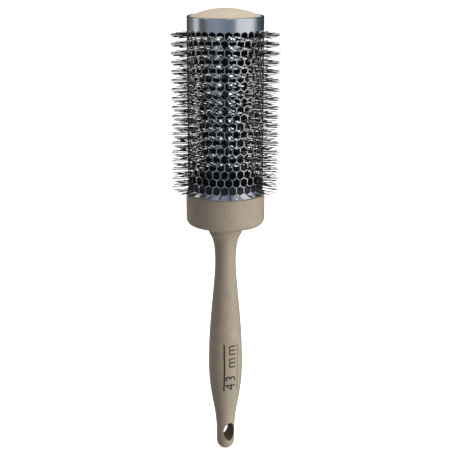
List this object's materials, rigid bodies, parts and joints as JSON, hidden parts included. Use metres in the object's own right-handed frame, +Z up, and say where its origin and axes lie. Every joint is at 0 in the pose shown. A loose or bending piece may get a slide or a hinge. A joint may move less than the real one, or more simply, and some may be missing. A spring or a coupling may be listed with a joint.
{
  "type": "round hair brush",
  "caption": "Round hair brush with a vented metal barrel, crimped nylon bristles set in rows through its vents, and a slim tapered handle with a hanging hole.",
  "frame": {"origin": "lowest point of the handle's rounded end, on the brush's axis", "axes": "+Z up the axis from the handle to the barrel's cap; the hanging hole is bored along Y, and -Y is the printed front of the grip"},
  "size_m": [0.0598, 0.0598, 0.2668],
  "materials": {
    "handle_composite": "satin moulded plastic filled with plant fibre, beige with fine flecks",
    "cap_plastic": "satin moulded plastic, light beige",
    "barrel_aluminium": "satin anodised, blue-grey",
    "plug_plastic": "moulded black",
    "core_steel": "drawn galvanised wire",
    "bristle_nylon": "crimped black nylon filament"
  },
  "bodies": {
    "root": {"handle": "handle_composite", "barrel": "barrel_aluminium", "end_cap": "cap_plastic", "top_plug": "plug_plastic", "base_plug": "plug_plastic", "core_wire_a": "core_steel", "core_wire_b": "core_steel", "bristle_fill": "bristle_nylon", "bristle_row_01": "bristle_nylon", "bristle_row_02": "bristle_nylon", "bristle_row_03": "bristle_nylon", "bristle_row_04": "bristle_nylon", "bristle_row_05": "bristle_nylon", "bristle_row_06": "bristle_nylon", "bristle_row_07": "bristle_nylon", "bristle_row_08": "bristle_nylon", "bristle_row_09": "bristle_nylon", "bristle_row_10": "bristle_nylon", "bristle_row_11": "bristle_nylon", "bristle_row_12": "bristle_nylon", "bristle_row_13": "bristle_nylon", "bristle_row_14": "bristle_nylon", "bristle_row_15": "bristle_nylon", "bristle_row_16": "bristle_nylon", "bristle_row_17": "bristle_nylon", "bristle_row_18": "bristle_nylon"}
  },
  "joints": []
}
